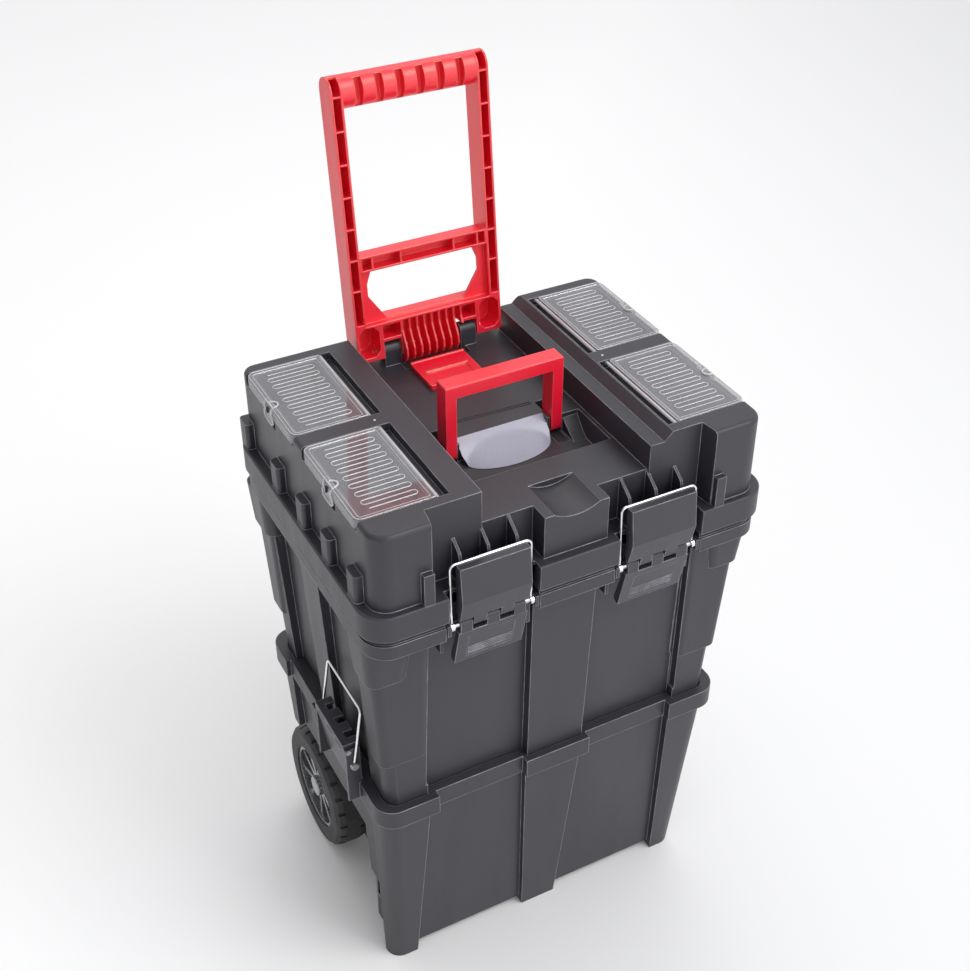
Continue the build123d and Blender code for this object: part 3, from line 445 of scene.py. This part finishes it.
# ---------------------------------------------------------------- clear lids
LID_TOP = 20.0 * MM             # a clear lid's top above the tip of its CAD tongue
LID_LIP = 11.0 * MM             # how far the outer edge turns down
LID_CORNER = 8.0 * MM
LIP_REACH = 0.75 * LID_CORNER   # what counts as the outer edge, from its outermost point
LID_CORNER_LEAST = 1.5 * MM
HINGE_CORNER = 2.5 * MM
HINGE_CORNER_LEAST = 0.8 * MM
CORNER_STEPS = 6
HINGE_GAP = 3.0 * MM            # from the box's hinge side to the cover
EDGE_GAP = 1.4 * MM             # from the box's outer side to the cover
END_GAP = 0.5 * MM              # from each end of the CAD cover
HINGE_STUB = 3.2 * MM           # the rod's end past the CAD cover
# The cover's rings, from its skirt to its panel: how far in, and how far below the top, in mm.
COVER_RINGS = ((0.0, 3.0), (0.0, 1.8), (0.5, 0.6), (1.6, 0.0), (4.2, 0.0), (4.9, 0.9))
# Pale beads painted as highlight lines round the cover's edge and its panel, measured in the same way.
RIM_LINES = ((1.0, 0.1), (4.8, 0.7))
RIM_LINE_RADIUS = 0.45 * MM

MEANDER_MARGIN = 15 * MM
MEANDER_REACH = 49 * MM         # along Y, each side of the lid's middle
MEANDER_DROP = 0.7 * MM
MEANDER_RUNS = 16
MEANDER_RADIUS = 0.55 * MM

ROD_IN = 2.0 * MM
ROD_DROP = 3.2 * MM
ROD_END_GAP = 0.6 * MM
ROD_RADIUS = 2.0 * MM

CATCH_HALF = 11.0 * MM
CATCH_PROUD = 0.4 * MM
CATCH_RADIUS = 1.1 * MM
CATCH_FOLD = 2 * MM             # how far the hook folds over the lid's top
# Outline of the hook: across, as a share of CATCH_HALF, and mm below the lid's top.
CATCH_OUTLINE = (
    (-0.80, 3.0), (-0.62, 8.0), (-1.0, 11.0), (-1.0, 16.0), (-0.72, 18.8), (0.0, 19.6),
    (0.72, 18.8), (1.0, 16.0), (1.0, 11.0), (0.62, 8.0), (0.80, 3.0),
)
ABOVE_TOP = 0.1 * MM
TONGUE_THICK = 1.2 * MM
CURL_START, CURL_DEPTH = 3.0 * MM, 6.0 * MM
CURL_HALF = 5.5 * MM
CURL_ASIDE = 0.25               # share of CATCH_HALF to the front of the middle
CURL_STEPS = 12
GAP_PROUD = 0.3 * MM
GAP_ASIDE = 1.5 * MM
GAP_FROM, GAP_TO = 3.5 * MM, 9.5 * MM
GAP_RADIUS = 1.3 * MM


def lid_sides(low, high, outward):
    """Where a clear lid's hinge side and its cover's outer edge are along X."""
    inner, outer = (low[0], high[0]) if outward > 0 else (high[0], low[0])
    return inner, outer - outward * EDGE_GAP


def lid_ring(low, high, outward, inset, height, lip=None):
    """Points round a clear lid's outline, drawn in by inset. A lip is the outer edge's own height."""
    hinge, edge = lid_sides(low, high, outward)
    x0, x1 = hinge + outward * (HINGE_GAP + inset), edge - outward * inset
    y0 = low[1] + END_GAP + HINGE_STUB + inset
    y1 = high[1] - END_GAP - HINGE_STUB - inset
    big = max(LID_CORNER - inset, LID_CORNER_LEAST)
    small = max(HINGE_CORNER - inset, HINGE_CORNER_LEAST)
    corners = ((x1, y0, big, -90, 0), (x1, y1, big, 0, 90),
               (x0, y1, small, 90, 180), (x0, y0, small, 180, 270))
    ring = []
    for x, y, radius, start, end in corners:
        towards = -outward if x == x1 else outward
        inward = 1 if y == y0 else -1
        for across, along, _ in arc((0, 0, 0), radius, start, end, CORNER_STEPS):
            px = x + towards * radius + outward * across
            py = y + inward * radius + along
            at_edge = abs(px - x1) < LIP_REACH
            ring.append((px, py, lip if at_edge and lip is not None else height))
    return ring


def clear_lid_cover(node, outward):
    """The moulded cover that stands for a clear lid's CAD solid."""
    low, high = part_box(node)
    top = low[2] + LID_TOP

    def make(bm):
        rings = []
        for inset, drop in COVER_RINGS:
            lip = top - LID_LIP if not rings else None
            ring = lid_ring(low, high, outward, inset * MM, top - drop * MM, lip)
            rings.append([bm.verts.new(place) for place in ring])
        for a, b in zip(rings, rings[1:]):
            for k in range(len(a)):
                n = (k + 1) % len(a)
                bm.faces.new((a[k], a[n], b[n], b[k]))
        bm.faces.new(rings[-1])
    return mesh_piece(f"{node}_cover", node, "clear_lid", make, smooth=False)


def add_catch(node, outward, mid, edge, top):
    """Glassy snap hook: a rounded tongue over the outer edge, a curl on top and, between them, a
    near-black bead as painted shade of the slot.
    """
    x = edge + outward * CATCH_PROUD
    outline = [(x, mid + CATCH_HALF * across, top - drop * MM) for across, drop in CATCH_OUTLINE]
    start, end = outline[0], outline[-1]
    folded = [(x - outward * CATCH_FOLD, y, top + ABOVE_TOP) for y in (end[1], start[1])]
    bead(f"{node}_catch", node, rib_highlight_look, outline + folded, CATCH_RADIUS, closed=True)

    curl = []
    for k in range(CURL_STEPS + 1):
        a = math.pi * k / CURL_STEPS
        curl.append((x - outward * (CURL_START + CURL_DEPTH * math.sin(a)),
                     mid - CATCH_HALF * CURL_ASIDE + CURL_HALF * math.cos(a), top + ABOVE_TOP))
    bead(f"{node}_curl", node, rib_highlight_look, curl, CATCH_RADIUS)

    def tongue(bm):
        back = [bm.verts.new((px - outward * TONGUE_THICK, py, pz)) for px, py, pz in outline]
        fore = [bm.verts.new(place) for place in outline]
        bm.faces.new(fore)
        for k in range(len(fore) - 1):
            bm.faces.new((fore[k], fore[k + 1], back[k + 1], back[k]))
    mesh_piece(f"{node}_tongue", node, "clear_lid", tongue, smooth=False)

    # Painted shade: a near-black bead where the slot between hook and lid is in shade.
    gap = [(x + outward * GAP_PROUD, mid + GAP_ASIDE, top - drop) for drop in (GAP_FROM, GAP_TO)]
    bead(f"{node}_slot", node, slot_shade_look, gap, GAP_RADIUS)


def dress_clear_lid(side, row):
    """Cover, rim lines, meander rib, snap hook and hinge rod of one clear lid."""
    node = f"clear_lid_{side}_{row}"
    outward = OUTWARD[side]
    low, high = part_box(node)
    top = low[2] + LID_TOP
    hinge, edge = lid_sides(low, high, outward)
    mid = (low[1] + high[1]) / 2
    cover = clear_lid_cover(node, outward)
    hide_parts(node)
    for k, (inset, drop) in enumerate(RIM_LINES):
        rim = lid_ring(low, high, outward, inset * MM, top - drop * MM)
        bead(f"{node}_rim_{k}", node, rib_highlight_look, rim, RIM_LINE_RADIUS, closed=True)
    zigzag = meander(hinge + outward * MEANDER_MARGIN, edge - outward * MEANDER_MARGIN,
                     mid - MEANDER_REACH, mid + MEANDER_REACH, top - MEANDER_DROP, MEANDER_RUNS)
    bead(f"{node}_meander", node, rib_highlight_look, zigzag, MEANDER_RADIUS)
    add_catch(node, outward, mid, edge, top)
    ends = (low[1] + ROD_END_GAP, high[1] - ROD_END_GAP)
    rod = [(hinge + outward * ROD_IN, y, top - ROD_DROP) for y in ends]
    bead(f"{node}_rod", node, rib_highlight_look, rod, ROD_RADIUS)


# ---------------------------------------------------------------- deck
BLOCK_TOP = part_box("lid_shell")[1][2]
DECK_Z = BLOCK_TOP - 37 * MM
PIT_Z = BLOCK_TOP - 57 * MM
# The CAD's slope behind the finger pit: 7 mm down over the first 10 mm, then 13 mm over 14 mm.
SLOPE_BREAK, SLOPE_BREAK_DEPTH = 10 * MM, 7 * MM
SLOPE_RATE, STEEP_RATE = 0.7, 13 / 14

SCOOP_HALF = 48.0 * MM
SCOOP_REAR_GAP = 6.5 * MM       # in front of the carry handle's back
SCOOP_NARROW, SCOOP_BULGE = 15 * MM, 25 * MM
SCOOP_COLUMNS, SCOOP_ROWS = 36, 12
SCOOP_SAG = 0.8                 # exponent of the dish's section
OVER_DECK, OVER_PIT, OVER_SLOPE = 0.3 * MM, 0.5 * MM, 0.4 * MM

SLOT_BEHIND = 21 * MM           # behind the carry handle
SLOT_LEFT, SLOT_RIGHT = -34 * MM, 47 * MM
SLOT_SKEW = 4.5 * MM            # its right end stands this far forward
SLOT_EDGES = (0.0, 3.2 * MM)    # its two sides, from the rear
SLOT_HEIGHT = 0.1 * MM
SLOT_RADIUS = 0.5 * MM

PIVOT_IN = 2.4 * MM             # outward of the clear lids' hinge side
PIVOT_SUNK, PIVOT_PROUD = 0.3 * MM, 0.15 * MM
PIVOT_RADIUS = 1.3 * MM


def slope_depth(back):
    """Depth below the deck of the CAD's slope, at a distance from its upper edge."""
    if back < SLOPE_BREAK:
        return SLOPE_RATE * back
    return SLOPE_BREAK_DEPTH + STEEP_RATE * (back - SLOPE_BREAK)


def scoop(bm):
    """Glossy dished surface that leads the fingers under the carry handle."""
    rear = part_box("carry_handle")[1][1] - SCOOP_REAR_GAP
    deck = DECK_Z + OVER_DECK
    floor = PIT_Z + OVER_PIT
    grid = []
    for i in range(SCOOP_COLUMNS + 1):
        across = 2 * i / SCOOP_COLUMNS - 1
        reach = SCOOP_NARROW + SCOOP_BULGE * math.sqrt(max(0.0, 1 - across * across))
        line = []
        for j in range(SCOOP_ROWS + 1):
            share = j / SCOOP_ROWS
            back = reach * share
            dish = deck + (floor - deck) * share ** SCOOP_SAG
            z = max(dish, DECK_Z - slope_depth(back) + OVER_SLOPE)
            line.append(bm.verts.new((SCOOP_HALF * across, rear - back, z)))
        grid.append(line)
    for left, right in zip(grid, grid[1:]):
        for j in range(SCOOP_ROWS):
            bm.faces.new((left[j], right[j], right[j + 1], left[j + 1]))


def dress_deck():
    """The scoop in the finger pit, near-black beads as painted shade of the slot in the deck, and the ends
    of the organisers' pivots.
    """
    dish = mesh_piece("finger_scoop", "lid", "charcoal_body", scoop)
    # Painted light: the scoop gets the pale lit colour instead of charcoal.
    dish.data.materials[0] = lit_scoop_look
    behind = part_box("carry_handle")[1][1] + SLOT_BEHIND
    z = DECK_Z + SLOT_HEIGHT
    # Painted shade: two near-black beads along the sides of the deck's slot.
    for k, forward in enumerate(SLOT_EDGES):
        y = behind - forward
        bead(f"deck_slot_shade_{k}", "lid", slot_shade_look,
             [(SLOT_LEFT, y, z), (SLOT_RIGHT, y - SLOT_SKEW, z)], SLOT_RADIUS)
    for side, outward in OUTWARD.items():
        front_low, front_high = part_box(f"clear_lid_{side}_front")
        rear_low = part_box(f"clear_lid_{side}_rear")[0]
        x = lid_sides(front_low, front_high, outward)[0] + outward * PIVOT_IN
        y = (front_high[1] + rear_low[1]) / 2
        bead(f"pivot_end_{side}", "lid", materials["bright_wire"],
             [(x, y, BLOCK_TOP - PIVOT_SUNK), (x, y, BLOCK_TOP + PIVOT_PROUD)], PIVOT_RADIUS)


# ---------------------------------------------------------------- floor
FLOOR_HALF = 14.0


def add_floor():
    mesh = bpy.data.meshes.new("floor")
    signs = ((-1, -1), (1, -1), (1, 1), (-1, 1))
    mesh.from_pydata([(FLOOR_HALF * x, FLOOR_HALF * y, 0) for x, y in signs], [], [(0, 1, 2, 3)])
    mesh.materials.append(floor_paint())
    floor = bpy.data.objects.new("floor", mesh)
    bpy.context.scene.collection.objects.link(floor)


add_camera()
add_studio()
add_floor()
dress_nodes()
dress_deck()
for side in OUTWARD:
    for row in ("front", "rear"):
        dress_clear_lid(side, row)
